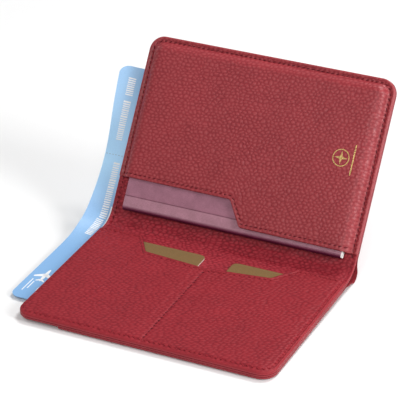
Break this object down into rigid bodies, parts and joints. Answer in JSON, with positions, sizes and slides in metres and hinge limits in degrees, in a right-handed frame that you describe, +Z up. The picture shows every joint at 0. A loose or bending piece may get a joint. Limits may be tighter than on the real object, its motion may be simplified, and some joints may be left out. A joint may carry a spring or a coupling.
{
  "type": "passport holder wallet",
  "caption": "Leather bifold travel wallet standing half open, with a passport pocket, card pockets, an outer slip pocket and their contents.",
  "frame": {"origin": "centre of the footprint, on the table that the open wallet stands on", "axes": "+X along the fold towards the end that the boarding pass doesn't stick out of, +Y from the card side towards the passport side, +Z up"},
  "size_m": [0.153, 0.161, 0.0919],
  "materials": {
    "facing_leather": "grained leather, semi-matt",
    "shell_leather": "pebbled leather, semi-matt",
    "pocket_leather": "pebbled leather, semi-matt",
    "stiffener_board": "plain board, hidden",
    "lining": "fine woven lining",
    "thread": "waxed polyester thread",
    "foil": "gold foil stamping",
    "passport_cover": "coated book cloth",
    "passport_pages": "uncoated paper",
    "card": "metallic gold print",
    "pass_paper": "printed thin card"
  },
  "bodies": {
    "card_side": {"lower_facing": "facing_leather", "lower_stiffener": "stiffener_board", "lower_outer_shell": "shell_leather", "lower_slip_pocket": "shell_leather", "card_pocket": "pocket_leather", "card_pocket_lining": "lining", "card_pocket_seam_thread": "thread", "card_pocket_mouth_thread": "thread", "lower_edge_thread": "thread"},
    "spine": {"spine_facing": "facing_leather", "spine_shell": "shell_leather", "spine_slip_pocket": "shell_leather"},
    "passport_side": {"upper_facing": "facing_leather", "upper_stiffener": "stiffener_board", "upper_outer_shell": "shell_leather", "upper_slip_pocket": "shell_leather", "passport_pocket": "pocket_leather", "passport_pocket_lining": "lining", "passport_pocket_mouth_thread": "thread", "upper_edge_thread": "thread", "foil_emblem": "foil"},
    "passport": {"passport_cover": "passport_cover", "passport_pages": "passport_pages"},
    "left_card": {"card_left": "card"},
    "right_card": {"card_right": "card"},
    "pass_front": {"pass_lower": "pass_paper"},
    "pass_fold": {"pass_spine": "pass_paper"},
    "pass_back": {"pass_upper": "pass_paper"}
  },
  "joints": [
    {"name": "spine_fold", "type": "hinge", "parent": "card_side", "child": "spine", "pos_m": [0, 0.01495, 0.00565], "axis": [1, 0, 0], "range_deg": [-27.8, 62.2]},
    {"name": "cover_fold", "type": "hinge", "parent": "spine", "child": "passport_side", "pos_m": [0, 0.02543, 0.01148], "axis": [1, 0, 0], "range_deg": [-27.8, 62.2]},
    {"name": "passport_slide", "type": "slide", "parent": "passport_side", "child": "passport", "axis": [0, 0.5462, 0.8376], "range_m": [0, 0.0008]},
    {"name": "left_card_slide", "type": "slide", "parent": "card_side", "child": "left_card", "axis": [0, 0.9997, 0.0225], "range_m": [0, 0.007]},
    {"name": "right_card_slide", "type": "slide", "parent": "card_side", "child": "right_card", "axis": [0, 0.9997, 0.0225], "range_m": [0, 0.007]},
    {"name": "pass_slide", "type": "slide", "parent": "card_side", "child": "pass_front", "axis": [-1, 0, 0], "range_m": [-0.003, 0.044]},
    {"name": "pass_front_bend", "type": "hinge", "parent": "pass_front", "child": "pass_fold", "pos_m": [0, 0.01495, 0.00565], "axis": [1, 0, 0], "range_deg": [-27.8, 62.2]},
    {"name": "pass_back_bend", "type": "hinge", "parent": "pass_fold", "child": "pass_back", "pos_m": [0, 0.02543, 0.01148], "axis": [1, 0, 0], "range_deg": [-27.8, 62.2]}
  ],
  "couplings": [
    {"joint": "cover_fold", "follows": "spine_fold", "ratio": 1},
    {"joint": "pass_front_bend", "follows": "spine_fold", "ratio": 1},
    {"joint": "pass_back_bend", "follows": "spine_fold", "ratio": 1}
  ]
}
